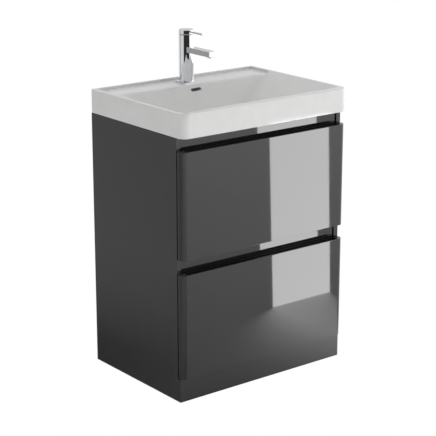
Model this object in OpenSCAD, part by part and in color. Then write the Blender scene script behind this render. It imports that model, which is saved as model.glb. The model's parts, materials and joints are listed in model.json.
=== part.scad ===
// Floor-standing bathroom vanity: two-drawer cabinet with a ceramic basin and a monobloc tap.
// X runs to the right, Y to the wall behind, Z up. The origin is on the floor, under the middle
// of the whole outline: the basin's front is at -Y and the wall is at +Y.

/* [Carcass] */
// Width of the cabinet, its fronts and its basin
unit_w = 600; // [560:10:700]
// Depth of a side panel, from the wall to its front edge
side_d = 413; // [405:1:430]
// Height of the carcass, up to the underside of the basin
carcass_h = 768; // [764:1:780]
// Thickness of the carcass boards
board_t = 15; // [15:1:18]
// Height of each front rail
rail_h = 70; // [60:1:74]
// How far the front rails sit behind the side panels' front edges
rail_setback = 4.5; // [3:0.5:6]
// Width of the shadow gap rebated into each end of a front rail
shadow_gap = 3; // [1:0.5:4]
// Height of the two rear rails
rear_rail_h = 80; // [60:1:90]

/* [Plinth] */
// Height of the plinth
plinth_h = 70; // [60:1:70]
// Thickness of the plinth, which stands in front of the side panels
plinth_t = 12; // [8:1:15]

/* [Drawer fronts] */
// Thickness of a drawer front
front_t = 24; // [24:1:26]
// Height of a drawer front
front_h = 308; // [300:1:308]
// Underside of the lower front above the floor
front_z = 72; // [72:1:74]
// Distance from one front's underside to the next
front_pitch = 350; // [348:1:352]
// Gap between the side panels' front edges and the back of a front
front_gap = 2; // [1.5:0.5:3]
// Plan radius of a front's outer vertical edges
front_edge_r = 19; // [10:1:19]
// Plan radius of a front's rear vertical edges
front_back_r = 4; // [2:1:4]

/* [Finger pulls] */
// Thickness of the lip in front of the pull
lip_t = 3; // [2.5:0.5:4]
// Depth of the pull below the lip's top edge
pull_h = 22; // [18:1:26]
// Wall thickness of the black profile
pull_wall = 1.5; // [1:0.5:2]
// Solid length of the front at each end of the pull
pull_end = 20; // [20:1:40]

/* [Drawer boxes] */
// Length of a drawer box behind its front
box_l = 350; // [330:10:360]
// Height of a drawer box
box_h = 200; // [160:10:200]
// Thickness of the box boards
box_t = 12; // [10:1:14]
// Thickness of the drawer bottoms
bottom_t = 6; // [4:1:8]
// Gap from a front's underside to its box
box_rise = 19; // [18:1:24]
// Half width of the clear notch around the trap in the upper drawer
notch_half = 78; // [60:1:90]
// Clear depth of the notch in front of the waste's axis
notch_reach = 60; // [50:1:70]

/* [Runners] */
// Space for a runner between a box and its side panel
runner_t = 13; // [12.7:0.1:14]
// Height of the cabinet member
runner_h = 45; // [44:1:46]
// Sheet thickness of the runner members
runner_sheet = 1.2; // [1:0.1:1.4]
// Length of a runner
runner_l = 350; // [330:10:350]

/* [Basin] */
// Overall depth of the basin from the wall
basin_d = 444; // [440:1:460]
// Height of the basin's skirt
basin_h = 70; // [68:1:75]
// Plan radius of the basin's front corners
basin_corner_r = 25; // [15:1:35]
// Width of the side and rear rims
rim_w = 12; // [10:1:14]
// Width of the front rim
front_rim_w = 21; // [16:1:26]
// Drop from the rim to the tap deck
rim_drop = 7; // [5:1:8]
// Depth of the tap deck from the wall
deck_d = 100; // [95:1:110]
// Depth of the bowl below the rim
bowl_depth = 110; // [100:1:115]
// Thickness of the ceramic
ceramic_t = 10; // [8:1:12]

/* [Tap] */
// Diameter of the tap's column
tap_d = 45; // [42:1:48]
// Height of the column's top above the deck
tap_h = 143.5; // [135:0.5:155]
// Distance of the tap's axis from the wall
tap_to_wall = 60; // [56:1:64]
// Reach of the spout in front of the tap's axis
spout_reach = 127; // [110:1:140]
// Width of the spout
spout_w = 24; // [22:1:28]
// Height of the spout
spout_h = 17; // [15:1:20]
// Reach of the lever in front of the tap's axis
lever_reach = 80; // [65:1:90]
// Height of the tap's cap
cap_h = 13; // [12:1:16]

/* [Waste] */
// Distance of the waste's axis from the wall
waste_to_wall = 250; // [240:1:260]
// Outer radius of the outlet pipe
pipe_r = 16; // [15:0.5:18]

/* [Hidden] */
$fn = 64;
hull_fn = 32;

// Colours
lacquer = "#3c3d40";
melamine = "#8d8c8a";
black = "#151515";
ceramic = "#eceae6";
chrome = "#c9ccd0";
plastic_white = "#e4e4e0";
rubber = "#2a2a2a";
zinc = "#b4b6b8";
brass = "#b39b5a";

// Planes of the carcass
wall_y = basin_d / 2;
side_front_y = wall_y - side_d;
half_w = unit_w / 2;
inner_half = half_w - board_t;
rail_y = side_front_y + rail_setback;
base_z = plinth_h + 2;
base_top = base_z + board_t;
top_rail_z = carcass_h - rail_h;
middle_rail_z = front_z + front_pitch - rail_h + 3;
rebate_d = 5;
bracket_x = 250;
bracket_z = 655;
bracket_hole_r = 3.25;

// Planes of the fronts and their boxes
front_back_y = side_front_y - front_gap;
front_y = front_back_y - front_t;
upper_z = front_z + front_pitch;
box_half = inner_half - runner_t;
box_back_y = front_back_y + box_l;
groove = 5;
bottom_rise = 8;
waste_y = wall_y - waste_to_wall;
notch_front_y = waste_y - notch_reach;
screw_r = 2.5;
screw_head_r = 4.5;
screw_head_h = 2.5;
screw_depth = 12;
screw_x = box_half - 70;
screw_z = [45, 150];

// Runner section, measured from the side panel inwards and from the runner's middle
runner_z = 50;
cabinet_flange = 9.5;
middle_web = 4;
middle_h = 35;
middle_flange = 7.5;
drawer_h = 26;
drawer_flange = 6.8;

// Basin
rim_z = carcass_h + basin_h;
deck_z = rim_z - rim_drop;
bowl_z = rim_z - bowl_depth;
bowl_half = half_w - rim_w - 2;
bowl_front_y = -wall_y + front_rim_w;
bowl_back_y = wall_y - deck_d;
bowl_top_r = 12;
floor_half = 130;
floor_front_y = waste_y - 80;
floor_back_y = waste_y + 88;
floor_r = 45;
waste_boss_r = 36;
waste_boss_h = ceramic_t + 20;
waste_boss_z = bowl_z - 28;
waste_hole_r = 22.5;
tap_hole_r = 17.5;
slot_w = 38;
slot_h = 9;
slot_z = deck_z - 15;
duct_h = 9;
duct_reach = 12;
duct_skin = 6;

// Waste and trap
tail_r = 20.9;
tail_bore_r = 17.5;
tail_l = 90;
port_h = 14;
flange_r = 32;
seal_h = 1.5;
plug_r = 29;
plug_z = bowl_z + 12;
stem_r = 4;
bridge_z = bowl_z - 12;
tail_z = bowl_z - tail_l;
trap_r = 28;
trap_wall = 2.5;
trap_top_z = tail_z - 2;
trap_h = 84;
cup_h = 66;
cup_top = trap_top_z - trap_h + 24;
trap_outlet_z = trap_top_z - 34;
outlet_nut_l = 18;
pipe_step = 0.5;
pipe_wall = 2;

// Tap
tap_y = wall_y - tap_to_wall;
tap_r = tap_d / 2;
plate_w = 50;
plate_h = 4;
column_z = deck_z + plate_h;
column_top = deck_z + tap_h;
cap_gap = 1.5;
cap_z = column_top + cap_gap;
spout_top_z = deck_z + 109;
spout_end_y = tap_y - spout_reach;
shank_r = 16;
shank_z = deck_z - ceramic_t + 1;
clamp_washer_h = 3;
clamp_washer_z = deck_z - ceramic_t - clamp_washer_h;
clamp_nut_h = 6;
stud_into_body = 18;
waterway_r = 4;
cartridge_r = 17;
cartridge_h = 29;
cartridge_nut_h = 7;
cartridge_z = column_top - cartridge_h - cartridge_nut_h - 2;
inlet_r = 5;
inlet_l = 14;
inlet_x = 7.5;
inlet_y = tap_y - 3;
stud_r = 3;
stud_y = tap_y + 10;
aerator_r = 8.5;
aerator_y = spout_end_y + 12;
lever_r = 3;
lever_z = cap_z + 8;
lever_root = 6;

// ---- Helpers ----

// A board between two corners
module board(from, to) {
    translate(from) cube(to - from);
}

// A left and a right copy of what is drawn on the right
module both_sides() {
    children();
    mirror([1, 0, 0]) children();
}

// Plan outline with its front at y = 0, rounded by front_r in front and back_r behind
module plan_outline(width, depth, front_r, back_r) {
    for (side = [-1, 1]) {
        intersection() {
            translate([side * (width / 2 - front_r), front_r]) circle(r = front_r);
            translate([-width / 2, 0]) square([width, front_r]);
        }
        translate([side * (width / 2 - back_r), depth - back_r]) circle(r = back_r);
    }
    translate([-width / 2 + front_r, 0]) square([width - 2 * front_r, front_r]);
    translate([-width / 2, front_r]) square([width, depth - front_r - back_r]);
    translate([-width / 2 + back_r, front_r]) square([width - 2 * back_r, depth - front_r]);
}

// A round ring standing on z
module ring(outer_r, inner_r, z, height) {
    translate([0, 0, z]) difference() {
        cylinder(r = outer_r, h = height);
        translate([0, 0, -1]) cylinder(r = inner_r, h = height + 2);
    }
}

// ---- Carcass ----

module side_panel() {
    board([inner_half, side_front_y, 0], [half_w, wall_y, carcass_h]);
}

module side_panel_left() {
    color(lacquer) mirror([1, 0, 0]) side_panel();
}

module side_panel_right() {
    color(lacquer) side_panel();
}

module base_panel() {
    color(melamine)
        board([-inner_half, side_front_y + 2, base_z], [inner_half, wall_y - 2, base_top]);
}

// A front rail with a shadow gap rebated into each end of its face
module front_rail(z) {
    difference() {
        board([-inner_half, rail_y, z], [inner_half, rail_y + board_t, z + rail_h]);
        both_sides() board(
            [inner_half - shadow_gap, rail_y - 1, z - 1],
            [inner_half + 1, rail_y + rebate_d, z + rail_h + 1]);
    }
}

module top_front_rail() {
    color(lacquer) front_rail(top_rail_z);
}

module middle_front_rail() {
    color(lacquer) front_rail(middle_rail_z);
}

module rear_rail(z) {
    board([-inner_half, wall_y - board_t, z], [inner_half, wall_y, z + rear_rail_h]);
}

module rear_top_rail() {
    color(melamine) rear_rail(carcass_h - rear_rail_h);
}

module rear_lower_rail() {
    color(melamine) rear_rail(base_top);
}

module plinth() {
    color(lacquer)
        board([-half_w, side_front_y - plinth_t, 0], [half_w, side_front_y, plinth_h]);
}

// Blocks that tie the plinth to the base panel
module plinth_blocks() {
    block = [60, 20, 24];
    color(plastic_white) for (x = [-180, 0, 180])
        translate([x - block[0] / 2, side_front_y, base_z - block[2]]) cube(block);
}

// Blocks that join the rails and the base panel to the side panels
module corner_blocks() {
    block = 20;
    tall = 40;
    front_rise = 15;
    rear_rise = 20;
    base_inset = 60;
    color(plastic_white) both_sides() {
        for (z = [top_rail_z + front_rise, middle_rail_z + front_rise])
            translate([inner_half - block, rail_y + board_t, z]) cube([block, block, tall]);
        for (z = [carcass_h - rear_rail_h + rear_rise, base_top + rear_rise])
            translate([inner_half - block, wall_y - board_t - block, z])
                cube([block, block, tall]);
        for (y = [side_front_y + base_inset, wall_y - tall - 50])
            translate([inner_half - block, y, base_z - block]) cube([block, tall, block]);
    }
}

// Soft pads on the side panels' front edges, which the closed fronts meet
module front_bumpers() {
    pad_r = 4;
    pad_t = front_gap - 0.3;
    color(rubber) both_sides() for (z = [front_z, upper_z], rise = [40, front_h - 60])
        translate([half_w - board_t / 2, side_front_y, z + rise])
            rotate([90, 0, 0]) cylinder(r = pad_r, h = pad_t);
}

// Steel angles that screw the cabinet to the wall
module wall_brackets() {
    sheet = 2.5;
    leg = 45;
    tall = 40;
    color(zinc) both_sides() difference() {
        union() {
            board(
                [inner_half - sheet, wall_y - leg, bracket_z - tall / 2],
                [inner_half, wall_y, bracket_z + tall / 2]);
            board(
                [bracket_x - 12, wall_y - sheet, bracket_z - tall / 2],
                [inner_half, wall_y, bracket_z + tall / 2]);
        }
        translate([bracket_x, wall_y + 1, bracket_z])
            rotate([90, 0, 0]) cylinder(r = bracket_hole_r, h = sheet + 2);
    }
}

// ---- Basin ----

module basin_block(inset_side, inset_front, z_low, z_high, corner_r) {
    translate([0, -wall_y + inset_front, z_low]) linear_extrude(height = z_high - z_low)
        plan_outline(unit_w - 2 * inset_side, basin_d - inset_front - inset_side, corner_r, 4);
}

// The bowl's shape, grown outwards by skin
module bowl(skin) {
    side_skin = 4;
    hull() {
        for (side = [-1, 1], y = [
                bowl_front_y - skin + bowl_top_r,
                bowl_back_y + skin - bowl_top_r])
            translate([side * (bowl_half + min(skin, side_skin) - bowl_top_r), y, deck_z - skin])
                cylinder(r = bowl_top_r, h = 1, $fn = hull_fn);
        for (side = [-1, 1], y = [
                floor_front_y - skin + floor_r,
                floor_back_y + skin - floor_r])
            translate([side * (floor_half + skin - floor_r), y, bowl_z - skin])
                cylinder(r = floor_r, h = 1, $fn = hull_fn);
    }
}

// The concealed overflow duct, from the slot down behind the bowl and under it to the waste
module overflow_duct(skin) {
    end_half = 12;
    start = [slot_w / 2, bowl_back_y + 4, slot_z - 6];
    bend = [slot_w / 2, floor_back_y + 14, bowl_z - 14];
    end = [end_half, waste_y + 15, bowl_z - 21];
    for (run = [[start, bend], [bend, end]]) hull() for (place = run)
        translate([-place[0] - skin, place[1] - skin / 2, place[2] - skin / 2])
            cube([2 * (place[0] + skin), duct_reach + skin, duct_h + skin]);
}

module basin() {
    color(ceramic) difference() {
        union() {
            difference() {
                basin_block(0, 0, carcass_h, rim_z, basin_corner_r);
                basin_block(rim_w, rim_w, carcass_h - 1, deck_z - ceramic_t, basin_corner_r - rim_w);
            }
            bowl(ceramic_t);
            overflow_duct(duct_skin);
            translate([0, waste_y, waste_boss_z]) cylinder(r = waste_boss_r, h = waste_boss_h);
        }
        basin_block(rim_w, front_rim_w, deck_z, rim_z + 1, 6);
        bowl(0);
        overflow_duct(0);
        translate([0, waste_y, waste_boss_z - 1]) cylinder(r = waste_hole_r, h = 60);
        translate([0, tap_y, deck_z - 40]) cylinder(r = tap_hole_r, h = 60);
        // Overflow slot through the bowl's rear wall
        translate([-slot_w / 2, bowl_back_y - 40, slot_z - slot_h / 2])
            cube([slot_w, 50, slot_h]);
    }
}

// ---- Waste and trap ----

// Click-clack waste: a flange in the bowl on a threaded tail with overflow ports, and a
// bridge across its bore that guides the plug's stem
module waste_body() {
    flange_h = 2.5;
    port_w = 12;
    bridge_w = 10;
    bridge_h = 4;
    color(chrome) translate([0, waste_y, 0]) difference() {
        union() {
            difference() {
                union() {
                    translate([0, 0, bowl_z + seal_h]) cylinder(r = flange_r, h = flange_h);
                    translate([0, 0, tail_z]) cylinder(r = tail_r, h = tail_l + seal_h + 1);
                }
                translate([0, 0, tail_z - 1]) cylinder(r = tail_bore_r, h = tail_l + 20);
            }
            translate([-tail_bore_r - 1, -bridge_w / 2, bridge_z])
                cube([2 * tail_bore_r + 2, bridge_w, bridge_h]);
        }
        translate([0, 0, bridge_z - 1]) cylinder(r = stem_r + 0.1, h = bridge_h + 2);
        translate([-port_w / 2, -tail_r - 1, waste_boss_z])
            cube([port_w, 2 * tail_r + 2, port_h]);
    }
}

// Washer between the waste's flange and the ceramic
module waste_seal() {
    color(rubber) translate([0, waste_y, 0]) ring(flange_r - 1, tail_r, bowl_z, seal_h);
}

// Nut and tapered washer under the basin
module waste_backnut() {
    nut_h = 10;
    nut_r = 31;
    washer_h = 8;
    low_z = waste_boss_z - washer_h - nut_h;
    color(plastic_white) translate([0, waste_y, 0]) difference() {
        union() {
            translate([0, 0, waste_boss_z - washer_h]) cylinder(r = flange_r, h = washer_h);
            translate([0, 0, low_z]) cylinder(r = nut_r, h = nut_h, $fn = 6);
        }
        translate([0, 0, low_z - 1]) cylinder(r = tail_r, h = nut_h + washer_h + 2);
    }
}

// Plug on its stem, drawn raised; a collar under the bridge stops it from lifting out
module waste_plug() {
    plug_h = 4;
    dome_r = 120;
    collar_r = 8;
    collar_h = 3;
    collar_z = bridge_z - collar_h - 1;
    stem_low = bridge_z - 12;
    color(chrome) translate([0, waste_y, 0]) {
        translate([0, 0, plug_z]) intersection() {
            cylinder(r = plug_r, h = plug_h);
            translate([0, 0, plug_h - dome_r]) sphere(r = dome_r, $fn = 128);
        }
        translate([0, 0, stem_low]) cylinder(r = stem_r, h = plug_z + 1 - stem_low);
        translate([0, 0, collar_z]) cylinder(r = collar_r, h = collar_h);
    }
}

// Union nuts at the trap's inlet and at its outlet
module trap_nuts() {
    nut_h = 22;
    grip_r = 26;
    color(plastic_white) {
        translate([0, waste_y, 0]) ring(grip_r, tail_r, tail_z - 6, nut_h);
        translate([0, waste_y + trap_r + 3, trap_outlet_z]) rotate([-90, 0, 0])
            ring(grip_r - 3, pipe_r - pipe_step, 0, outlet_nut_l);
    }
}

// Upper half of the bottle trap, with its dip tube and its side outlet
module trap_body() {
    body_h = trap_h - 40;
    dip_l = 74;
    spigot_l = 9;
    spigot_y = trap_r - 6;
    bore_y = pipe_r + trap_wall + 1;
    color(plastic_white) translate([0, waste_y, 0]) difference() {
        union() {
            difference() {
                translate([0, 0, cup_top]) cylinder(r = trap_r, h = body_h);
                translate([0, 0, cup_top - 1])
                    cylinder(r = trap_r - trap_wall, h = body_h - trap_wall);
            }
            translate([0, 0, tail_z - dip_l]) cylinder(r = pipe_r + trap_wall, h = dip_l);
            translate([0, spigot_y, trap_outlet_z]) rotate([-90, 0, 0])
                cylinder(r = pipe_r + pipe_wall, h = spigot_l);
        }
        translate([0, 0, tail_z - dip_l - 1]) cylinder(r = pipe_r, h = dip_l + 2);
        translate([0, bore_y, trap_outlet_z]) rotate([-90, 0, 0])
            cylinder(r = pipe_r - pipe_wall, h = spigot_y + spigot_l - bore_y + 1);
    }
}

// Lower cup of the trap, which unscrews for cleaning
module trap_cup() {
    low_z = cup_top - cup_h;
    floor_t = 3;
    rib_w = 4;
    rib_h = 24;
    color(plastic_white) translate([0, waste_y, 0]) difference() {
        union() {
            translate([0, 0, low_z]) cylinder(r = trap_r, h = cup_h);
            for (turn = [0:30:330]) rotate(turn)
                translate([trap_r - 1, -rib_w / 2, low_z]) cube([rib_w, rib_w, rib_h]);
        }
        translate([0, 0, low_z + floor_t]) cylinder(r = trap_r - trap_wall, h = cup_h);
    }
}

// Pipe from the trap to the wall, turned down slightly where the outlet nut grips it
module trap_outlet_pipe() {
    start_y = waste_y + trap_r + 3;
    color(plastic_white) translate([0, start_y, trap_outlet_z]) rotate([-90, 0, 0]) difference() {
        union() {
            cylinder(r = pipe_r - pipe_step, h = outlet_nut_l + 1);
            translate([0, 0, outlet_nut_l]) cylinder(r = pipe_r, h = wall_y - start_y - outlet_nut_l);
        }
        translate([0, 0, -1]) cylinder(r = pipe_r - pipe_wall, h = wall_y - start_y + 2);
    }
}

// ---- Tap ----

module tap_base_plate() {
    color(chrome) translate([0, tap_y - plate_w / 2, deck_z]) difference() {
        linear_extrude(height = plate_h) plan_outline(plate_w, plate_w, 2, 2);
        translate([0, plate_w / 2, -1]) cylinder(r = shank_r, h = plate_h + 2);
    }
}

// Column with the cartridge's seat, two inlets and the waterway to the spout
module tap_body() {
    passage_y = -8;
    spout_mid_z = spout_top_z - spout_h / 2;
    color(chrome) translate([0, tap_y, 0]) difference() {
        union() {
            translate([0, 0, column_z]) cylinder(r = tap_r, h = column_top - column_z);
            translate([0, 0, shank_z]) cylinder(r = shank_r, h = column_z - shank_z);
        }
        translate([0, 0, cartridge_z]) cylinder(r = cartridge_r, h = tap_h);
        for (side = [-1, 1]) translate([side * inlet_x, inlet_y - tap_y, shank_z - 1]) {
            cylinder(r = inlet_r, h = inlet_l + 1);
            cylinder(r = waterway_r, h = cartridge_z - shank_z + 2);
        }
        translate([0, stud_y - tap_y, shank_z - 1]) cylinder(r = stud_r, h = stud_into_body + 1);
        translate([0, passage_y, spout_mid_z]) rotate([90, 0, 0])
            cylinder(r = waterway_r, h = tap_d);
        translate([0, passage_y, spout_mid_z])
            cylinder(r = waterway_r, h = cartridge_z - spout_mid_z + 1);
    }
}

module tap_spout() {
    middle_z = spout_top_z - spout_h / 2;
    color(chrome) difference() {
        translate([0, tap_y, middle_z]) rotate([90, 0, 0])
            linear_extrude(height = spout_reach)
                translate([0, -spout_h / 2]) plan_outline(spout_w, spout_h, 1.5, 1.5);
        translate([0, tap_y, column_z]) cylinder(r = tap_r, h = tap_h);
        translate([0, tap_y, middle_z]) rotate([90, 0, 0])
            cylinder(r = waterway_r, h = tap_y - aerator_y);
        translate([0, aerator_y, spout_top_z - spout_h - 1]) cylinder(r = aerator_r, h = 8);
        translate([0, aerator_y, spout_top_z - spout_h - 1]) cylinder(r = waterway_r, h = 12);
    }
}

module tap_aerator() {
    proud = 3;
    seat = 5;
    mesh_r = 6;
    color(chrome) translate([0, aerator_y, spout_top_z - spout_h - proud]) difference() {
        cylinder(r = aerator_r, h = proud + seat);
        translate([0, 0, -1]) cylinder(r = mesh_r, h = proud + 2);
    }
}

module tap_cartridge() {
    stem_hole = 8;
    color(plastic_white) translate([0, tap_y, cartridge_z]) difference() {
        cylinder(r = cartridge_r, h = cartridge_h);
        translate([0, 0, cartridge_h - 14]) cylinder(r = stem_hole, h = 15);
    }
}

module tap_cartridge_nut() {
    color(brass) translate([0, tap_y, 0])
        ring(cartridge_r, 10, cartridge_z + cartridge_h, cartridge_nut_h);
}

// Turning carrier of the cartridge: its square stem drives the cap
module tap_stem() {
    stem_w = 8;
    collar_r = 14;
    stem_low = cartridge_z + cartridge_h - 12;
    color(brass) translate([0, tap_y, 0]) {
        translate([-stem_w / 2, -stem_w / 2, stem_low]) cube([stem_w, stem_w, cap_z + 6 - stem_low]);
        translate([0, 0, column_top - 1]) cylinder(r = collar_r, h = cap_gap + 0.5);
    }
}

module tap_cap() {
    cavity_r = 16;
    cavity_h = 8;
    edge_r = 1;
    color(chrome) translate([0, tap_y, cap_z]) difference() {
        rotate_extrude() {
            square([tap_r - edge_r, cap_h]);
            square([tap_r, cap_h - edge_r]);
            translate([tap_r - edge_r, cap_h - edge_r]) circle(r = edge_r);
        }
        translate([0, 0, -1]) cylinder(r = cavity_r, h = cavity_h + 1);
        translate([0, lever_root - tap_r, lever_z - cap_z]) rotate([90, 0, 0])
            cylinder(r = lever_r, h = tap_r);
    }
}

module tap_lever() {
    tip_l = 9;
    tip_r = 3.6;
    length = lever_reach - tap_r + lever_root;
    color(chrome) translate([0, tap_y - tap_r + lever_root, lever_z]) rotate([90, 0, 0]) {
        cylinder(r = lever_r, h = length);
        translate([0, 0, length - tip_l]) cylinder(r = tip_r, h = tip_l);
    }
}

// Threaded stud that draws the tap down onto the deck
module tap_stud() {
    stud_l = 60;
    color(zinc) translate([0, stud_y, shank_z + stud_into_body - stud_l])
        cylinder(r = stud_r, h = stud_l);
}

// Horseshoe washer under the deck
module tap_clamp_washer() {
    washer_r = 20;
    gap_w = 30;
    color(zinc) translate([0, tap_y, clamp_washer_z]) difference() {
        cylinder(r = washer_r, h = clamp_washer_h);
        translate([-gap_w / 2, -washer_r - 1, -1])
            cube([gap_w, washer_r + 6, clamp_washer_h + 2]);
        translate([0, stud_y - tap_y, -1]) cylinder(r = stud_r, h = clamp_washer_h + 2);
    }
}

module tap_clamp_nut() {
    nut_r = 6;
    color(brass) translate([0, stud_y, clamp_washer_z - clamp_nut_h]) difference() {
        cylinder(r = nut_r, h = clamp_nut_h, $fn = 6);
        translate([0, 0, -1]) cylinder(r = stud_r, h = clamp_nut_h + 2);
    }
}

// ---- Drawers ----

// A drawer front: outer edges rounded in plan, a pocket for the pull behind its lip
module drawer_front(z) {
    color(lacquer) difference() {
        translate([0, front_y, z]) linear_extrude(height = front_h)
            plan_outline(unit_w, front_t, front_edge_r, front_back_r);
        board(
            [-half_w + pull_end, front_y + lip_t, z + front_h - pull_h],
            [half_w - pull_end, front_back_y + 1, z + front_h + 1]);
        front_screw_places(z) cylinder(r = screw_r, h = screw_depth);
    }
}

// Black U-shaped profile, open upwards, that forms the finger grip
module drawer_pull(z) {
    low_z = z + front_h - pull_h;
    color(black) difference() {
        board(
            [-half_w + pull_end, front_y + lip_t, low_z],
            [half_w - pull_end, front_back_y, z + front_h]);
        board(
            [-half_w + pull_end + pull_wall, front_y + lip_t + pull_wall, low_z + pull_wall],
            [half_w - pull_end - pull_wall, front_back_y - pull_wall, z + front_h + 1]);
    }
}

// Places of the front's screws: the child's +Z runs from the inner front into the front
module front_screw_places(z) {
    for (x = [-screw_x, screw_x], rise = screw_z)
        translate([x, front_back_y, z + box_rise + rise]) rotate([90, 0, 0]) children();
}

module front_screws(z) {
    color(zinc) front_screw_places(z) {
        translate([0, 0, -box_t - screw_head_h]) cylinder(r = screw_head_r, h = screw_head_h);
        translate([0, 0, -box_t]) cylinder(r = screw_r, h = box_t + screw_depth);
    }
}

// Right-hand side board, grooved for the bottom
module drawer_side(z) {
    low_z = z + box_rise;
    difference() {
        board([box_half - box_t, front_back_y, low_z], [box_half, box_back_y, low_z + box_h]);
        board(
            [box_half - box_t - 1, front_back_y + box_t - groove, low_z + bottom_rise],
            [box_half - box_t + groove, box_back_y - box_t + groove,
                low_z + bottom_rise + bottom_t]);
    }
}

// Inner front, grooved for the bottom and bored for the front's screws
module drawer_inner_front(z) {
    low_z = z + box_rise;
    color(melamine) difference() {
        board(
            [-box_half + box_t, front_back_y, low_z],
            [box_half - box_t, front_back_y + box_t, low_z + box_h]);
        board(
            [-box_half, front_back_y + box_t - groove, low_z + bottom_rise],
            [box_half, front_back_y + box_t + 1, low_z + bottom_rise + bottom_t]);
        front_screw_places(z) translate([0, 0, -box_t - 1]) cylinder(r = screw_r, h = box_t + 2);
    }
}

module drawer_back(z) {
    low_z = z + box_rise;
    difference() {
        board(
            [-box_half + box_t, box_back_y - box_t, low_z],
            [box_half - box_t, box_back_y, low_z + box_h]);
        board(
            [-box_half, box_back_y - box_t - 1, low_z + bottom_rise],
            [box_half, box_back_y - box_t + groove, low_z + bottom_rise + bottom_t]);
    }
}

module drawer_bottom(z) {
    low_z = z + box_rise + bottom_rise;
    reach = box_half - box_t + groove;
    board(
        [-reach, front_back_y + box_t - groove, low_z],
        [reach, box_back_y - box_t + groove, low_z + bottom_t]);
}

module upper_front() {
    drawer_front(upper_z);
}

module upper_pull() {
    drawer_pull(upper_z);
}

module upper_side_left() {
    color(melamine) mirror([1, 0, 0]) drawer_side(upper_z);
}

module upper_side_right() {
    color(melamine) drawer_side(upper_z);
}

module upper_inner_front() {
    drawer_inner_front(upper_z);
}

// Two back boards, one on each side of the notch
module upper_back() {
    reach = notch_half + box_t;
    color(melamine) difference() {
        drawer_back(upper_z);
        board([-reach, box_back_y - box_t - 1, upper_z], [reach, box_back_y + 1, upper_z + box_h * 2]);
    }
}

// Bottom with a notch that lets the drawer pass the trap
module upper_bottom() {
    color(melamine) difference() {
        drawer_bottom(upper_z);
        board([-notch_half, notch_front_y, upper_z], [notch_half, wall_y, upper_z + box_h]);
    }
}

// Walls around the notch, standing on the bottom
module upper_notch_liner() {
    low_z = upper_z + box_rise + bottom_rise + bottom_t;
    top_z = upper_z + box_rise + box_h;
    color(plastic_white) difference() {
        board(
            [-notch_half - box_t, notch_front_y - box_t, low_z],
            [notch_half + box_t, box_back_y, top_z]);
        board([-notch_half, notch_front_y, low_z - 1], [notch_half, wall_y, top_z + 1]);
    }
}

module upper_front_screws() {
    front_screws(upper_z);
}

module lower_front() {
    drawer_front(front_z);
}

module lower_pull() {
    drawer_pull(front_z);
}

module lower_side_left() {
    color(melamine) mirror([1, 0, 0]) drawer_side(front_z);
}

module lower_side_right() {
    color(melamine) drawer_side(front_z);
}

module lower_inner_front() {
    drawer_inner_front(front_z);
}

module lower_back() {
    color(melamine) drawer_back(front_z);
}

module lower_bottom() {
    color(melamine) drawer_bottom(front_z);
}

module lower_front_screws() {
    front_screws(front_z);
}

// ---- Runners ----

// One C-shaped runner member. start is the distance of its far side from the side panel,
// opening is 1 where its flanges point away from the side panel and -1 where they point to it.
module runner_member(z, web, height, flange, opening) {
    low_z = z + box_rise + runner_z - height / 2;
    web_x = inner_half - web;
    web_far = web_x - opening * runner_sheet;
    flange_far = web_x - opening * flange;
    color(zinc) both_sides() {
        board(
            [min(web_x, web_far), front_back_y + 4, low_z],
            [max(web_x, web_far), front_back_y + 4 + runner_l, low_z + height]);
        for (edge_z = [low_z, low_z + height - runner_sheet]) board(
            [min(web_x, flange_far), front_back_y + 4, edge_z],
            [max(web_x, flange_far), front_back_y + 4 + runner_l, edge_z + runner_sheet]);
    }
}

module cabinet_members(z) {
    runner_member(z, 0, runner_h, cabinet_flange, 1);
}

module middle_members(z) {
    runner_member(z, middle_web, middle_h, middle_flange, 1);
}

module drawer_members(z) {
    runner_member(z, runner_t, drawer_h, drawer_flange, -1);
}

module upper_cabinet_members() {
    cabinet_members(upper_z);
}

module upper_middle_members() {
    middle_members(upper_z);
}

module upper_drawer_members() {
    drawer_members(upper_z);
}

module lower_cabinet_members() {
    cabinet_members(front_z);
}

module lower_middle_members() {
    middle_members(front_z);
}

module lower_drawer_members() {
    drawer_members(front_z);
}

side_panel_left();
side_panel_right();
base_panel();
top_front_rail();
middle_front_rail();
rear_top_rail();
rear_lower_rail();
plinth();
plinth_blocks();
corner_blocks();
front_bumpers();
wall_brackets();
basin();
waste_body();
waste_seal();
waste_backnut();
waste_plug();
trap_nuts();
trap_body();
trap_cup();
trap_outlet_pipe();
tap_base_plate();
tap_body();
tap_spout();
tap_aerator();
tap_cartridge();
tap_cartridge_nut();
tap_stem();
tap_cap();
tap_lever();
tap_stud();
tap_clamp_washer();
tap_clamp_nut();
upper_front();
upper_pull();
upper_side_left();
upper_side_right();
upper_inner_front();
upper_back();
upper_bottom();
upper_notch_liner();
upper_front_screws();
lower_front();
lower_pull();
lower_side_left();
lower_side_right();
lower_inner_front();
lower_back();
lower_bottom();
lower_front_screws();
upper_cabinet_members();
upper_middle_members();
upper_drawer_members();
lower_cabinet_members();
lower_middle_members();
lower_drawer_members();
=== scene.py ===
import json
import math

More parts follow.
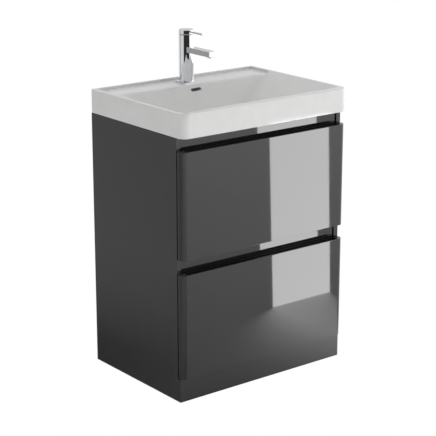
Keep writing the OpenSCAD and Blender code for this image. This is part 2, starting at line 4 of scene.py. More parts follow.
import bmesh
import bpy
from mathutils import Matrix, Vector


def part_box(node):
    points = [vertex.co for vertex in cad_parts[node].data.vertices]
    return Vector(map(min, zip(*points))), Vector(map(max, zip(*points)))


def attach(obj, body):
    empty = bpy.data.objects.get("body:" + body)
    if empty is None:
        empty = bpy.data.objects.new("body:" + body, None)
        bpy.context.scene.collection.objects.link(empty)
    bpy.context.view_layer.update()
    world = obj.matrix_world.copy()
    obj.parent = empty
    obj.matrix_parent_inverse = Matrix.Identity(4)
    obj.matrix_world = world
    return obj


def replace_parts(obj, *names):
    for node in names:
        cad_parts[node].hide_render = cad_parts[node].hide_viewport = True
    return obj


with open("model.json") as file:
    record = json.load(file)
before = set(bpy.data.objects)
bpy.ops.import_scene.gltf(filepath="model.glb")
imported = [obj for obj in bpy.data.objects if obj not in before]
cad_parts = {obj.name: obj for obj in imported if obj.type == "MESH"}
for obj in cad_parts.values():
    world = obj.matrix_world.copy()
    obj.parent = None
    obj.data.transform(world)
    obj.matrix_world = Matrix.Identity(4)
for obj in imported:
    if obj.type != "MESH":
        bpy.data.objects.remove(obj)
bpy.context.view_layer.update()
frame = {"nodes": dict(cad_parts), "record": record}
NODES = frame["nodes"]


# ---- Places taken from the frame ----

def lo_hi(node):
    lo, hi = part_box(node)
    return Vector(lo), Vector(hi)


BASIN_LO, BASIN_HI = lo_hi("basin")
PLATE_LO, PLATE_HI = lo_hi("tap_base_plate")
COLUMN_LO, COLUMN_HI = lo_hi("tap_body")
CAP_LO, CAP_HI = lo_hi("tap_cap")
SPOUT_LO, SPOUT_HI = lo_hi("tap_spout")
AERATOR_LO, AERATOR_HI = lo_hi("tap_aerator")
LEVER_LO, LEVER_HI = lo_hi("tap_lever")
PLUG_LO, PLUG_HI = lo_hi("waste_plug")
HALF_W = BASIN_HI.x
WALL_Y = BASIN_HI.y
FRONT_Y = BASIN_LO.y
SKIRT_Z = lo_hi("side_panel_left")[1].z
RIM_Z = BASIN_HI.z
DECK_Z = PLATE_LO.z
TAP = Vector((0, (PLATE_LO.y + PLATE_HI.y) / 2, 0))
TAP_R = COLUMN_HI.x
WASTE = Vector((0, (PLUG_LO.y + PLUG_HI.y) / 2, 0))

# ---- Sizes that the frame's boxes don't give, in metres ----

# The basin's rim, and its outer corners seen from above
SIDE_RIM = 0.012
FRONT_RIM = 0.021
FRONT_CORNER_R = 0.025
WALL_CORNER_R = 0.004
# The tap deck, from the wall, and the overflow slot under its front edge
DECK_DEPTH = 0.100
DECK_FRONT = WALL_Y - DECK_DEPTH
SLOT_HALF = 0.019
SLOT_R = 0.0045
SLOT_Z = DECK_Z - 0.015
# The bowl, its floor round the waste, and the ceramic's thickness under it and in the skirt
BOWL_DEPTH = 0.110
FLOOR_Z = RIM_Z - BOWL_DEPTH
FLOOR_HALF = 0.130
FLOOR_FRONT = 0.080
FLOOR_BACK = 0.088
WASTE_HOLE_R = 0.0225
WASTE_BOSS_R = 0.036
CERAMIC = 0.010
SKIRT = 0.012
# A drawer front's upright corners, front and back
FRONT_R = 0.019
FRONT_BACK_R = 0.004
# Rounding of the turned pieces' edges, and the radius of the small face that closes them on their axis
TURNED_EDGE = 0.0008
AXIS = 0.001


# ---- Mesh helpers ----

def mesh_of(name, verts, faces):
    """A mesh whose faces all look outwards."""
    mesh = bpy.data.meshes.new(name)
    mesh.from_pydata([tuple(v) for v in verts], [], faces)
    mesh.validate()
    bm = bmesh.new()
    bm.from_mesh(mesh)
    bmesh.ops.recalc_face_normals(bm, faces=bm.faces)
    bm.to_mesh(mesh)
    bm.free()
    return mesh


def placed(name, data):
    o = bpy.data.objects.new(name, data)
    bpy.context.scene.collection.objects.link(o)
    return o


def new_piece(name, verts, faces, body, slot):
    mesh = mesh_of(name, verts, faces)
    for p in mesh.polygons:
        p.use_smooth = True
    mesh.materials.append(FINISHES[slot])
    o = placed(name, mesh)
    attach(o, body)
    return o


def mixed(p, q, t):
    """The point a share t of the way from p to q."""
    return tuple(a + (b - a) * t for a, b in zip(p, q))


def mixed_rings(a, b, t):
    return [mixed(p, q, t) for p, q in zip(a, b)]


def on_arc(x, y, r, start, turn):
    a = math.radians(start + turn)
    return (x + r * math.cos(a), y + r * math.sin(a))


def plan_ring(x_half, y_front, y_back, r_front, r_back, steps, straight=None):
    """Points of a rectangle with rounded corners seen from above, starting at the front right: steps round
    each corner, and straight along each side."""
    corners = [
        (x_half - r_front, y_front + r_front, r_front, -90),
        (x_half - r_back, y_back - r_back, r_back, 0),
        (-x_half + r_back, y_back - r_back, r_back, 90),
        (-x_half + r_front, y_front + r_front, r_front, 180),
    ]
    straight = straight or steps
    points = []
    for corner, following in zip(corners, corners[1:] + corners[:1]):
        points += [on_arc(*corner, 90 * k / steps) for k in range(steps + 1)]
        side_start, side_end = points[-1], on_arc(*following, 0)
        points += [mixed(side_start, side_end, k / straight) for k in range(1, straight)]
    return points


def circle_like(ring, centre, radius):
    """A circle with a point for each of the ring's, each at its own bearing from the centre."""
    out = []
    for x, y in ring:
        a = math.atan2(y - centre.y, x - centre.x)
        out.append((centre.x + radius * math.cos(a), centre.y + radius * math.sin(a)))
    return out


def level(ring, z):
    return [(x, y, z) for x, y in ring]


def loft(rings, closed=False):
    """Quads between rings of points. closed joins the last ring to the first, or both ends get a face."""
    n = len(rings[0])
    verts = [p for ring in rings for p in ring]
    faces = []
    for r in range(len(rings) if closed else len(rings) - 1):
        a, b = r * n, (r + 1) % len(rings) * n
        faces += [(a + i, a + (i + 1) % n, b + (i + 1) % n, b + i) for i in range(n)]
    if not closed:
        faces.append(tuple(range(n))[::-1])
        faces.append(tuple(range(len(verts) - n, len(verts))))
    return verts, faces


def rounded_edge(z, e, way, share=0.3):
    """(inset, height) pairs from a flat end at z round an edge to the side above (way 1) or below (-1)."""
    return [(e, z), (e * share, z + way * e * share), (0, z + way * e)]


def rounded_side(z0, z1, e):
    """(inset, height) pairs up a side whose foot and top are rounded."""
    return rounded_edge(z0, e, 1) + [(0, (z0 + z1) / 2)] + rounded_edge(z1, e, -1)[::-1]


def guarded(profile, near=0.0006):
    """Adds a point near each end of a long stretch, so that the edge beside it can't bend its shading."""
    out = [profile[0]]
    for a, b in zip(profile, profile[1:]):
        length = math.dist(a, b)
        if length > 5 * near:
            out += [mixed(a, b, near / length), mixed(a, b, 1 - near / length)]
        out.append(b)
    return out


def shaded(o, degrees=35):
    """Edges over this angle stay crisp, and big faces lead the shading, so that they mirror straight."""
    o.data.set_sharp_from_angle(angle=math.radians(degrees))
    w = o.modifiers.new("shading", "WEIGHTED_NORMAL")
    w.mode = "FACE_AREA"
    w.weight = 90
    w.keep_sharp = True
    return o


def chrome_turning(name, profile, axis_at, body, steps=96, along=(0, 0, 1)):
    """A chrome piece made by turning (radius, height) pairs about an axis."""
    turn = Vector((0, 0, 1)).rotation_difference(Vector(along)).to_matrix()
    bearings = [2 * math.pi * k / steps for k in range(steps)]
    rings = []
    for r, h in guarded(profile):
        around = [Vector((r * math.cos(a), r * math.sin(a), h)) for a in bearings]
        rings.append([Vector(axis_at) + turn @ point for point in around])
    return shaded(new_piece(name, *loft(rings), body, "polished_chrome"))


def cut(o, name, rings):
    """Takes the solid between rings of points out of a piece."""
    tool = placed(name, mesh_of(name, *loft(rings)))
    m = o.modifiers.new(name, "BOOLEAN")
    m.operation = "DIFFERENCE"
    m.solver = "EXACT"
    m.object = tool
    result = bpy.data.meshes.new_from_object(o.evaluated_get(bpy.context.evaluated_depsgraph_get()))
    o.modifiers.clear()
    whole, tool_mesh = o.data, tool.data
    o.data = result
    bpy.data.objects.remove(tool)
    bpy.data.meshes.remove(whole)
    bpy.data.meshes.remove(tool_mesh)


def soften_node(node, width):
    """A CAD board keeps its mesh: modifiers close its split corners and take the sharpness off its edges."""
    o = NODES[node]
    w = o.modifiers.new("weld", "WELD")
    w.merge_threshold = 0.00001
    b = o.modifiers.new("edges", "BEVEL")
    b.width = width
    b.segments = 2
    b.limit_method = "ANGLE"
    b.angle_limit = math.radians(40)
    b.harden_normals = True
    b.use_clamp_overlap = True


# ---- Node helpers ----

def node_tree(name):
    m = bpy.data.materials.new(name)
    m.use_nodes = True
    nt = m.node_tree
    nt.nodes.clear()
    return m, nt, nt.nodes.new("ShaderNodeOutputMaterial").inputs["Surface"]


def principled(name):
    m, nt, out = node_tree(name)
    bsdf = nt.nodes.new("ShaderNodeBsdfPrincipled")
    nt.links.new(bsdf.outputs["BSDF"], out)
    return m, nt, bsdf


def emission(name):
    m, nt, out = node_tree(name)
    e = nt.nodes.new("ShaderNodeEmission")
    nt.links.new(e.outputs["Emission"], out)
    return m, nt, e


def object_place(nt):
    return nt.nodes.new("ShaderNodeTexCoord").outputs["Object"]


def calculated(nt, operation, a, b):
    """A Math node's result for two values, each a socket or a number."""
    m = nt.nodes.new("ShaderNodeMath")
    m.operation = operation
    for value, into in zip((a, b), m.inputs):
        if isinstance(value, (int, float)):
            into.default_value = value
        else:
            nt.links.new(value, into)
    return m.outputs[0]


def mapped(nt, value, from_low, from_high, to_low=0.0, to_high=1.0):
    m = nt.nodes.new("ShaderNodeMapRange")
    m.inputs["From Min"].default_value = from_low
    m.inputs["From Max"].default_value = from_high
    m.inputs["To Min"].default_value = to_low
    m.inputs["To Max"].default_value = to_high
    nt.links.new(value, m.inputs["Value"])
    return m.outputs["Result"]


# ---- Finishes ----

def noise(nt, scale, stretch, detail):
    mapping = nt.nodes.new("ShaderNodeMapping")
    mapping.inputs["Scale"].default_value = stretch
    tex = nt.nodes.new("ShaderNodeTexNoise")
    tex.inputs["Scale"].default_value = scale
    tex.inputs["Detail"].default_value = detail
    nt.links.new(object_place(nt), mapping.inputs["Vector"])
    nt.links.new(mapping.outputs["Vector"], tex.inputs["Vector"])
    return tex.outputs["Fac"]


def colours(nt, value, dark, light):
    r = nt.nodes.new("ShaderNodeValToRGB")
    for e, position, colour in zip(r.color_ramp.elements, (0.35, 0.65), (dark, light)):
        e.position = position
        e.color = (*colour, 1)
    nt.links.new(value, r.inputs["Fac"])
    return r.outputs["Color"]


def surface(name, dark, light, grain, rough, bump, stretch=(1, 1, 1), metal=0.0, ior=1.5):
    """A finish whose colour varies from dark to light in patches of that grain, whose roughness varies
    between two values in larger patches, and which has a finer bump of that height."""
    patches, roughness_patches, bumps = grain, grain * 0.37, grain * 2.0
    m, nt, bsdf = principled(name)
    nt.links.new(colours(nt, noise(nt, patches, stretch, 4), dark, light), bsdf.inputs["Base Color"])
    roughness = mapped(nt, noise(nt, roughness_patches, stretch, 3), 0.3, 0.7, *rough)
    nt.links.new(roughness, bsdf.inputs["Roughness"])
    b = nt.nodes.new("ShaderNodeBump")
    b.inputs["Strength"].default_value = 1.0
    b.inputs["Distance"].default_value = bump
    nt.links.new(noise(nt, bumps, stretch, 2), b.inputs["Height"])
    nt.links.new(b.outputs["Normal"], bsdf.inputs["Normal"])
    bsdf.inputs["Metallic"].default_value = metal
    bsdf.inputs["IOR"].default_value = ior
    return m


LOOKS = {
    "grey_lacquer": dict(dark=(0.0160, 0.0163, 0.0175), light=(0.0185, 0.0188, 0.0200), grain=35,
                         rough=(0.028, 0.045), bump=0.000002, ior=1.56),
    "grey_board": dict(dark=(0.27, 0.265, 0.255), light=(0.34, 0.335, 0.325), grain=420,
                       rough=(0.42, 0.55), bump=0.00006),
    "black_anodised": dict(dark=(0.008, 0.008, 0.0085), light=(0.013, 0.013, 0.014), grain=240,
                           rough=(0.26, 0.38), bump=0.00002, stretch=(0.05, 1, 1)),
    "white_ceramic": dict(dark=(0.60, 0.60, 0.595), light=(0.625, 0.625, 0.62), grain=18,
                          rough=(0.05, 0.09), bump=0.00004, ior=1.48),
    "polished_chrome": dict(dark=(0.76, 0.77, 0.79), light=(0.81, 0.82, 0.83), grain=60,
                            rough=(0.02, 0.055), bump=0.000004, metal=1.0),
    "white_plastic": dict(dark=(0.74, 0.74, 0.72), light=(0.80, 0.80, 0.78), grain=160,
                          rough=(0.25, 0.36), bump=0.00003),
    "liner_plastic": dict(dark=(0.36, 0.36, 0.35), light=(0.42, 0.42, 0.41), grain=300,
                          rough=(0.45, 0.6), bump=0.00006),
    "rubber": dict(dark=(0.03, 0.03, 0.03), light=(0.05, 0.05, 0.05), grain=500,
                   rough=(0.7, 0.85), bump=0.0001),
    "brass": dict(dark=(0.62, 0.46, 0.20), light=(0.72, 0.56, 0.28), grain=200,
                  rough=(0.2, 0.34), bump=0.00003, metal=1.0),
    "zinc_steel": dict(dark=(0.50, 0.51, 0.53), light=(0.64, 0.65, 0.67), grain=90,
                       rough=(0.26, 0.42), bump=0.00002, metal=1.0),
}
FINISHES = {slot: surface(slot, **look) for slot, look in LOOKS.items()}


def dress_cad_nodes():
    """Every CAD node takes the finish of its slot in the record."""
    for row in frame["record"]["subparts"]:
        o = NODES[row["node"]]
        o.data.materials.clear()
        o.data.materials.append(FINISHES[row["material_slot"]])


# ---- Basin ----

def larger(a, b, blend):
    """The larger of two heights, with a fillet a quarter of blend deep where they meet."""
    h = max(blend - abs(a - b), 0) / blend
    return max(a, b) + h * h * blend / 4


def smaller(a, b, blend):
    return -larger(-a, -b, blend)


def eased(t):
    t = min(max(t, 0), 1)
    return t * t * (3 - 2 * t)


def basin_height(x, y):
    """Height of the basin's upper side: a rim, four walls sloping to a floor, and the tap deck behind."""
    walls_top = RIM_Z - 0.0008
    steep = 8.0
    floor_slope = 0.018
    walls_blend, floor_blend, rear_blend, deck_blend = 0.022, 0.018, 0.034, 0.007
    step_blend, rim_blend = 0.0015, 0.0014
    deck_start, deck_run = DECK_FRONT - 0.006, 0.014
    on_deck = eased((y - deck_start) / deck_run)

    side_slope = (walls_top - FLOOR_Z) / (HALF_W - SIDE_RIM - FLOOR_HALF)
    side_slope += (steep - side_slope) * on_deck
    side = walls_top - side_slope * (HALF_W - SIDE_RIM - abs(x))
    front_top = FRONT_Y + FRONT_RIM
    front_foot = WASTE.y - FLOOR_FRONT
    front = walls_top - (walls_top - FLOOR_Z) / (front_foot - front_top) * (y - front_top)
    rear_foot = WASTE.y + FLOOR_BACK
    rear = FLOOR_Z + (DECK_Z - FLOOR_Z) / (DECK_FRONT - rear_foot) * (y - rear_foot)
    rear = smaller(DECK_Z, rear, deck_blend)
    rear_rim = walls_top - steep * (WALL_Y - SIDE_RIM - y)
    floor = FLOOR_Z + floor_slope * math.hypot(x - WASTE.x, y - WASTE.y)

    height = larger(larger(side, front, walls_blend), floor, floor_blend)
    height = larger(height, rear, rear_blend + (step_blend - rear_blend) * on_deck)
    height = larger(height, rear_rim, step_blend)
    return smaller(RIM_Z, height, rim_blend)


def basin_ring(inset_side, inset_front, inset_back, r_front, r_back):
    corner_steps, side_steps = 10, 56
    return plan_ring(HALF_W - inset_side, FRONT_Y + inset_front, WALL_Y - inset_back, r_front, r_back,
                     corner_steps, side_steps)


def skirt_ring(inset):
    return basin_ring(inset, inset, inset, FRONT_CORNER_R - inset * 0.5, WALL_CORNER_R)


def well_ring(inset):
    """The inner edge of the rim, moved inwards."""
    corner_r = 0.008
    return basin_ring(SIDE_RIM + inset, FRONT_RIM + inset, SIDE_RIM + inset, corner_r, corner_r)


def draped(ring):
    return [(x, y, basin_height(x, y)) for x, y in ring]


def skirt_rings():
    """Up the outside, and round the rim's outer edge."""
    rim_edge, rim_steps = 0.003, 4
    places = [(0.0012, SKIRT_Z), (0.0003, SKIRT_Z + 0.0006), (0, SKIRT_Z + 0.0014), (0, SKIRT_Z + 0.02),
              (0, RIM_Z - 0.02)]
    for k in range(rim_steps + 1):
        a = math.radians(90 * k / rim_steps)
        places.append((rim_edge * (1 - math.cos(a)), RIM_Z - rim_edge * (1 - math.sin(a))))
    return [level(skirt_ring(inset), z) for inset, z in places]


def bowl_rings(well, hole):
    """Over the rim, close together where its inner edge turns down, and on into the waste's hole."""
    insets = (-0.0055, -0.0035, -0.002, -0.001, -0.0003, 0.0002, 0.0005, 0.0009, 0.0014, 0.0022, 0.0035)
    steps = 84
    rings = [draped(well_ring(inset)) for inset in insets]
    rings += [draped(mixed_rings(well, hole, k / steps)) for k in range(steps)]
    rings.append(level(hole, FLOOR_Z))
    return rings


def under_rings(well, hole):
    """Down through the waste's boss, and back under the bowl and the deck to the inside of the skirt."""
    under_floor = FLOOR_Z - CERAMIC
    floor_r, walls_r, back_r = 0.05, 0.016, 0.003
    boss = circle_like(well, WASTE, WASTE_BOSS_R)
    floor = basin_ring(HALF_W - FLOOR_HALF - CERAMIC, WASTE.y - FLOOR_FRONT - CERAMIC - FRONT_Y,
                       WALL_Y - WASTE.y - FLOOR_BACK - CERAMIC, floor_r, floor_r)
    walls = basin_ring(SIDE_RIM, FRONT_RIM - 0.002, DECK_DEPTH - 0.002, walls_r, walls_r)
    inner = basin_ring(SKIRT, SKIRT, SKIRT, FRONT_CORNER_R - SKIRT, back_r)
    rings = [level(hole, BASIN_LO.z), level(boss, BASIN_LO.z), level(boss, under_floor),
             level(floor, under_floor)]
    for t in (0.3, 0.65, 1.0):
        rings.append(level(mixed_rings(floor, walls, t), under_floor + (DECK_Z - FLOOR_Z) * t))
    rings += [level(inner, DECK_Z - CERAMIC), level(inner, SKIRT_Z + 0.0012),
              level(skirt_ring(0.010), SKIRT_Z)]
    return rings


def cut_overflow_slot(o):
    """An opening with round ends through the bowl's rear wall."""
    outline = []
    for side in (1, -1):
        for degrees in range(-90, 91, 15):
            x, z = on_arc(SLOT_HALF - SLOT_R, 0, SLOT_R, degrees, 0)
            outline.append((side * x, SLOT_Z + side * z))
    front, back = DECK_FRONT - 0.016, DECK_FRONT + 0.007
    cut(o, "overflow_cut", [[(x, y, z) for x, z in outline] for y in (front, back)])


def make_basin():
    well = well_ring(0.005)
    hole = circle_like(well, WASTE, WASTE_HOLE_R)
    rings = skirt_rings() + bowl_rings(well, hole) + under_rings(well, hole)
    o = new_piece("basin_glazed", *loft(rings, closed=True), "carcass", "white_ceramic")
    cut_overflow_slot(o)
    shaded(o, 34)
    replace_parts(o, "basin")


# ---- Waste ----

def make_plug():
    """A thin crowned disc, flat below where it comes down on the waste's flange, on a stem."""
    r, top = PLUG_HI.x, PLUG_HI.z
    under = top - 0.004
    stem_r = 0.004
    stem = [(stem_r, PLUG_LO.z), (stem_r, under - 0.004), (0.0155, under - 0.0004), (0.017, under)]
    disc = [(r - 0.002, under), (r - 0.0006, under + 0.0006), (r, under + 0.0018), (r - 0.0006, top - 0.0012),
            (r - 0.003, top - 0.0003), (r * 0.5, top), (AXIS, top)]
    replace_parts(chrome_turning("plug_cap", stem + disc, WASTE, "waste_plug"), "waste_plug")


# ---- Tap ----

def make_column():
    """The column, with a socket for the cartridge, and the shank through the deck stand for the CAD body."""
    socket_r, socket_depth = 0.017, 0.020
    shank_r, chamfer = 0.016, 0.0005
    foot, top = PLATE_HI.z, COLUMN_HI.z
    profile = [(TAP_R - inset, z) for inset, z in rounded_side(foot, top, TURNED_EDGE)]
    profile += [(socket_r, top), (socket_r, top - socket_depth), (AXIS, top - socket_depth)]
    column = chrome_turning("tap_column", profile, TAP, "carcass")
    shank = [(shank_r - chamfer, COLUMN_LO.z), (shank_r, COLUMN_LO.z + chamfer), (shank_r, foot),
             (AXIS, foot)]
    chrome_turning("tap_shank", shank, TAP, "carcass", 64)
    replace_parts(column, "tap_body")


def make_head():
    under_r, top_edge = 0.016, 0.0012
    foot, top = CAP_LO.z, CAP_HI.z
    side = rounded_edge(foot, TURNED_EDGE, 1) + rounded_edge(top, top_edge, -1, 1 / 3)[::-1]
    profile = [(under_r, foot)]
    profile += [(TAP_R - inset, z) for inset, z in side]
    profile += [(TAP_R * 0.5, top), (AXIS, top)]
    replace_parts(chrome_turning("tap_head", profile, TAP, "tap_handle"), "tap_cap")


def make_lever():
    """A thin pin with a slightly thicker tip."""
    r, tip = 0.003, 0.0036
    length = LEVER_HI.y - LEVER_LO.y
    profile = [(r, 0), (r, length - 0.010), (tip - 0.0002, length - 0.009), (tip, length - 0.0085),
               (tip, length - 0.0008), (tip - 0.0003, length - 0.0003), (tip - 0.0008, length),
               (0.0005, length)]
    root = (0, LEVER_HI.y, (LEVER_LO.z + LEVER_HI.z) / 2)
    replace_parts(chrome_turning("tap_pin_lever", profile, root, "tap_handle", 40, (0, -1, 0)), "tap_lever")


def make_spout():
    """A flat bar with rounded edges, run into the column."""
    half_w, half_h = SPOUT_HI.x, (SPOUT_HI.z - SPOUT_LO.z) / 2
    z = (SPOUT_HI.z + SPOUT_LO.z) / 2
    tip = SPOUT_LO.y
    outline = plan_ring(half_w, -half_h, half_h, 0.0015, 0.0015, 6)
    rings = []
    for y, inset in ((tip, 0.0012), (tip + 0.0004, 0.0004), (tip + 0.0012, 0), (SPOUT_HI.y, 0)):
        rings.append([(x * (1 - inset / half_w), y, z + h * (1 - inset / half_h)) for x, h in outline])
    o = new_piece("tap_spout_bar", *loft(rings), "carcass", "polished_chrome")
    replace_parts(shaded(o), "tap_spout")


def make_plate():
    corner_r = 0.002
    places = [(0, PLATE_LO.z)] + rounded_edge(PLATE_HI.z, 0.0006, -1)[::-1]
    rings = []
    for inset, z in places:
        outline = plan_ring(PLATE_HI.x - inset, PLATE_LO.y + inset, PLATE_HI.y - inset, corner_r, corner_r, 6)
        rings.append(level(outline, z))
    o = new_piece("tap_plate", *loft(rings), "carcass", "polished_chrome")
    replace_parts(shaded(o), "tap_base_plate")


def make_nozzle():
    bore_r, bore_depth, edge = 0.006, 0.002, 0.0006
    r, foot, top = AERATOR_HI.x, AERATOR_LO.z, AERATOR_HI.z
    profile = [(bore_r, foot + bore_depth), (bore_r, foot), (r - edge, foot), (r, foot + edge), (r, top),
               (AXIS, top)]
    middle = (0, (AERATOR_LO.y + AERATOR_HI.y) / 2, 0)
    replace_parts(chrome_turning("tap_nozzle", profile, middle, "carcass", 64), "tap_aerator")


# ---- Drawer fronts ----

def make_front(which):
    """A gloss slab with large upright corners, and a pocket behind its top lip for the finger pull."""
    node = which + "_front"
    lo, hi = lo_hi(node)
    rings = []
    for inset, z in rounded_side(lo.z, hi.z, 0.0012):
        outline = plan_ring(hi.x - inset, lo.y + inset, hi.y - inset,
                            FRONT_R - inset, FRONT_BACK_R - inset, 16)
        rings.append(level(outline, z))
    o = new_piece(which + "_front_panel", *loft(rings), which + "_drawer", "grey_lacquer")
    past = 0.002
    pull_lo, pull_hi = lo_hi(which + "_pull")
    x0, x1, y0, y1 = pull_lo.x, pull_hi.x, pull_lo.y, hi.y + past
    pocket = [(x0, y0), (x1, y0), (x1, y1), (x0, y1)]
    cut(o, which + "_pocket", [level(pocket, pull_lo.z), level(pocket, hi.z + past)])
    shaded(o, 30)
    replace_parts(o, node)


# ---- Camera ----

def make_camera():
    """The photo's viewing angle, with no lens shift."""
    data = bpy.data.cameras.new("camera")
    data.lens = 122.8
    data.sensor_width = 36
    data.clip_end = 100
    turn, down = math.radians(38.0), math.radians(16.38)
    look = Vector((math.sin(turn) * math.cos(down), math.cos(turn) * math.cos(down), -math.sin(down)))
    cam = placed("camera", data)
    cam.location = (-2.617, -3.341, 1.693)
    cam.rotation_mode = "QUATERNION"
    cam.rotation_quaternion = look.to_track_quat("-Z", "Y")
    bpy.context.scene.camera = cam


# ---- Studio ----

# The softbox, an upright card in front of the cabinet and to its right
SOFTBOX_LEFT, SOFTBOX_RIGHT, SOFTBOX_Y = 0.419, 0.676, -0.680
SOFTBOX_LEAN = -0.024
SOFTBOX_TOP = 0.626
SOFTBOX_STRENGTH = 8.1

# Light by bearing in degrees, 0 in front and positive to the right, and a factor by height in degrees.
# Between the heights of the band the light turns from the bearings' levels to a plain one.
SOFT_ROUND = [(-180, 1.0), (-125, 0.70), (-95, 0.56), (-40, 0.42), (10, 0.42), (45, 0.9), (75, 1.4),
              (105, 1.4), (150, 1.1), (180, 1.0)]
SOFT_HEIGHTS = [(-90, 1.2), (-15, 1.45), (5, 1.17), (45, 0.80), (65, 1.35), (90, 2.2)]
SOFT_PLAIN, SOFT_BAND = 0.90, (20, 60)
# The dark stretch in front is what gives the tap's column its black stripe
MIRRORED_ROUND = [(-180, 1.00), (-158, 1.00), (-149, 0.36), (-136, 0.36), (-129, 0.72), (-100, 0.78),
                  (-78, 0.70), (-73, 0.03), (13, 0.03), (18, 1.25), (40, 1.35), (46, 1.75), (60, 2.0),
                  (90, 2.0), (120, 1.2), (142, 0.65), (180, 1.0)]
MIRRORED_HEIGHTS = [(-90, 0.3), (-25, 0.6), (-11, 1.0), (90, 1.0)]
MIRRORED_PLAIN, MIRRORED_BAND = 0.6, (25, 65)

# The floors' light, by place along the line towards the front right, from 0 to 1 over FLOOR_SPAN
FLOOR_RADIUS = 4.1
FRONT_RIGHT = (0.616, -0.788, 0)
FLOOR_SPAN = (-0.5, 3.5)
BOUNCED = [(0.0, 0.05), (0.13, 0.15), (0.22, 0.75), (0.4, 1.15), (1.0, 1.3)]
MIRRORED = [(0.0, 0.0), (0.13, 0.20), (0.2, 0.27), (0.35, 0.38), (0.5, 0.54), (1.0, 0.85)]
# Painted shade on the mirrored floor: its base colour by distance from the cabinet's left, as a share of
# SHADE_REACH, darkest just beside the cabinet, where the cabinet would shade the floor. All that isn't on the
# left has the first level.
SHADE_REACH = 1.2
PAINTED_SHADE_BESIDE = [(0.0, 0.5), (0.005, 0.05), (0.10, 0.16), (0.20, 0.31), (0.38, 0.44), (0.6, 0.50), (1.0, 0.5)]
# The softbox's pool of light on it, by the share of a half turn that the softbox's foot takes up from there
POOL = [(0.04, 0), (0.064, 0.08), (0.080, 0.2), (0.100, 0.38), (0.12, 0.66), (0.16, 1.1), (0.207, 1.65),
        (0.3, 2.2), (0.48, 2.8), (0.54, 3.4), (1, 3.5)]


def glow(name, strength):
    """A plain white light of one strength."""
    m, _, e = emission(name)
    e.inputs["Strength"].default_value = strength
    return m


def stops(nt, value, points, top):
    """The level at a value on a curve through (value, level) points, with levels up to top."""
    r = nt.nodes.new("ShaderNodeValToRGB")
    elements = r.color_ramp.elements
    while len(elements) < len(points):
        elements.new(0.5)
    for e, (position, height) in zip(elements, points):
        e.position = position
        e.color = (height / top,) * 3 + (1,)
    nt.links.new(value, r.inputs["Fac"])
    return calculated(nt, "MULTIPLY", r.outputs["Color"], top)


def turned(nt, a, b, low, high):
    """The angle of (a, b) in degrees, mapped so that low to high gives 0 to 1."""
    return mapped(nt, calculated(nt, "ARCTAN2", a, b), math.radians(low), math.radians(high))


def separated(nt):
    part = nt.nodes.new("ShaderNodeSeparateXYZ")
    nt.links.new(object_place(nt), part.inputs["Vector"])
    return part.outputs["X"], part.outputs["Y"], part.outputs["Z"]


def studio_glow(name, round_levels, height_levels, plain, band):
    """Light that depends on the bearing near and below the horizon, and is plain overhead."""
    m, nt, e = emission(name)
    x, y, z = separated(nt)
    flat = nt.nodes.new("ShaderNodeCombineXYZ")
    nt.links.new(x, flat.inputs["X"])
    nt.links.new(y, flat.inputs["Y"])
    length = nt.nodes.new("ShaderNodeVectorMath")
    length.operation = "LENGTH"
    nt.links.new(flat.outputs["Vector"], length.inputs[0])
    away = length.outputs["Value"]
    bearing = turned(nt, x, calculated(nt, "MULTIPLY", y, -1.0), -180, 180)
    mix = nt.nodes.new("ShaderNodeMix")
    nt.links.new(turned(nt, z, away, *band), mix.inputs["Factor"])
    nt.links.new(stops(nt, bearing, [((a + 180) / 360, v) for a, v in round_levels], 3.0), mix.inputs["A"])
    mix.inputs["B"].default_value = plain
    by_height = stops(nt, turned(nt, z, away, -90, 90), [((a + 90) / 180, v) for a, v in height_levels], 3.0)
    nt.links.new(calculated(nt, "MULTIPLY", mix.outputs["Result"], by_height), e.inputs["Strength"])
    return m


def stage_mesh(name, verts, faces, material, camera=False, glossy=False, diffuse=False):
    """A helper that only the named kinds of ray meet, and that casts no shadow."""
    mesh = bpy.data.meshes.new(name)
    mesh.from_pydata(verts, [], faces)
    mesh.materials.append(material)
    o = placed(name, mesh)
    o.visible_camera = camera
    o.visible_glossy = glossy
    o.visible_diffuse = diffuse
    o.visible_transmission = False
    o.visible_shadow = False
    return o


def softbox():
    """An upright glowing card, leaning sideways at its top."""
    verts = [(SOFTBOX_LEFT, SOFTBOX_Y, 0.0), (SOFTBOX_RIGHT, SOFTBOX_Y, 0.0),
             (SOFTBOX_RIGHT + SOFTBOX_LEAN, SOFTBOX_Y, SOFTBOX_TOP),
             (SOFTBOX_LEFT + SOFTBOX_LEAN, SOFTBOX_Y, SOFTBOX_TOP)]
    stage_mesh("softbox", verts, [(0, 1, 2, 3)], glow("softbox", SOFTBOX_STRENGTH), glossy=True)


def dome(name, radius, material, **seen_by):
    bm = bmesh.new()
    bmesh.ops.create_uvsphere(bm, u_segments=48, v_segments=32, radius=radius)
    bm.verts.index_update()
    verts = [tuple(v.co) for v in bm.verts]
    faces = [tuple(v.index for v in f.verts) for f in bm.faces]
    bm.free()
    stage_mesh(name, verts, faces, material, **seen_by).location = (0, 0, 0.5)


def disc(name, radius, z, material, **seen_by):
    steps = 96
    turns = [2 * math.pi * k / steps for k in range(steps)]
    verts = [(radius * math.cos(a), radius * math.sin(a), z) for a in turns]
    stage_mesh(name, verts, [tuple(range(steps))], material, **seen_by)


def glowing_paint(name):
    """A matt white that can also shine: returns the material, its nodes and its shader."""
    m, nt, bsdf = principled(name)
    bsdf.inputs["Roughness"].default_value = 1.0
    bsdf.inputs["Specular IOR Level"].default_value = 0.0
    bsdf.inputs["Emission Color"].default_value = (1, 1, 1, 1)
    return m, nt, bsdf


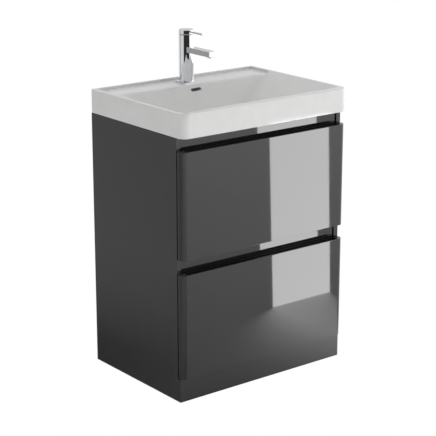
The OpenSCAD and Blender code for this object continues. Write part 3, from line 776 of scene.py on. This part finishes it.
def rightward(nt, levels):
    """A level that depends on how far a place on the floor lies towards the front right."""
    towards = nt.nodes.new("ShaderNodeVectorMath")
    towards.operation = "DOT_PRODUCT"
    towards.inputs[1].default_value = FRONT_RIGHT
    nt.links.new(object_place(nt), towards.inputs[0])
    return stops(nt, mapped(nt, towards.outputs["Value"], *FLOOR_SPAN), levels, 2.0)


def softbox_pool(nt, x, y):
    """Light on the floor from the softbox, by the angle that its foot takes up from there. None behind it."""
    behind = calculated(nt, "SUBTRACT", y, SOFTBOX_Y)
    right = turned(nt, calculated(nt, "SUBTRACT", SOFTBOX_RIGHT, x), behind, 0, 180)
    left = turned(nt, calculated(nt, "SUBTRACT", SOFTBOX_LEFT, x), behind, 0, 180)
    angle = calculated(nt, "SUBTRACT", right, left)
    facing = calculated(nt, "GREATER_THAN", behind, 0.0)
    return stops(nt, calculated(nt, "MULTIPLY", angle, facing), POOL, 4.0)


def mirrored_floor():
    """The floor as reflections see it: with painted shade on the cabinet's left, and brighter towards the
    front right, where the soft light is strongest, and at the foot of the softbox."""
    m, nt, bsdf = glowing_paint("mirrored_floor")
    x, y, _ = separated(nt)
    # Painted shade: the base colour darkens close to the cabinet's left side, standing in for its shadow on
    # the floor.
    reach = mapped(nt, calculated(nt, "MULTIPLY", x, -1.0), HALF_W, HALF_W + SHADE_REACH)
    nt.links.new(stops(nt, reach, PAINTED_SHADE_BESIDE, 1.0), bsdf.inputs["Base Color"])
    strength = calculated(nt, "ADD", rightward(nt, MIRRORED), softbox_pool(nt, x, y))
    nt.links.new(strength, bsdf.inputs["Emission Strength"])
    disc("mirrored_floor", FLOOR_RADIUS, -0.0005, m, glossy=True)


def bouncing_floor():
    """The floor as soft light meets it: it lights the object from below, and more from the front right."""
    m, nt, bsdf = glowing_paint("bouncing_floor")
    bsdf.inputs["Base Color"].default_value = (0.85, 0.85, 0.85, 1)
    nt.links.new(rightward(nt, BOUNCED), bsdf.inputs["Emission Strength"])
    disc("bouncing_floor", FLOOR_RADIUS, -0.001, m, diffuse=True)


def white_backdrop():
    """What the camera sees behind and under the object."""
    scene = bpy.context.scene
    scene.view_settings.view_transform = "Standard"
    scene.world = bpy.data.worlds.new("studio")
    scene.world.use_nodes = True
    background = scene.world.node_tree.nodes["Background"]
    background.inputs["Color"].default_value = (1, 1, 1, 1)
    background.inputs["Strength"].default_value = 1.0
    far = 12
    corners = [(-far, -far, 0), (far, -far, 0), (far, far, 0), (-far, far, 0)]
    stage_mesh("floor", corners, [(0, 1, 2, 3)], glow("floor", 1.0), camera=True)


def make_studio():
    """A white backdrop, a dome and a floor for soft light, and a dome, a floor and a card for reflections."""
    white_backdrop()
    mirrored_floor()
    bouncing_floor()
    soft = studio_glow("soft_light", SOFT_ROUND, SOFT_HEIGHTS, SOFT_PLAIN, SOFT_BAND)
    dome("soft_dome", 9, soft, diffuse=True)
    mirrored = studio_glow("reflected_light", MIRRORED_ROUND, MIRRORED_HEIGHTS, MIRRORED_PLAIN, MIRRORED_BAND)
    dome("reflected_dome", 8, mirrored, glossy=True)
    softbox()


# ---- Build ----

make_camera()
dress_cad_nodes()
for node in ("side_panel_left", "side_panel_right", "top_front_rail", "middle_front_rail", "plinth"):
    soften_node(node, 0.0008)
for node in ("base_panel", "rear_top_rail", "rear_lower_rail", "upper_side_left", "upper_side_right",
             "upper_inner_front", "upper_back", "lower_side_left", "lower_side_right", "lower_inner_front",
             "lower_back"):
    soften_node(node, 0.0006)
make_basin()
make_plug()
make_column()
make_head()
make_lever()
make_spout()
make_plate()
make_nozzle()
make_front("upper")
make_front("lower")
make_studio()
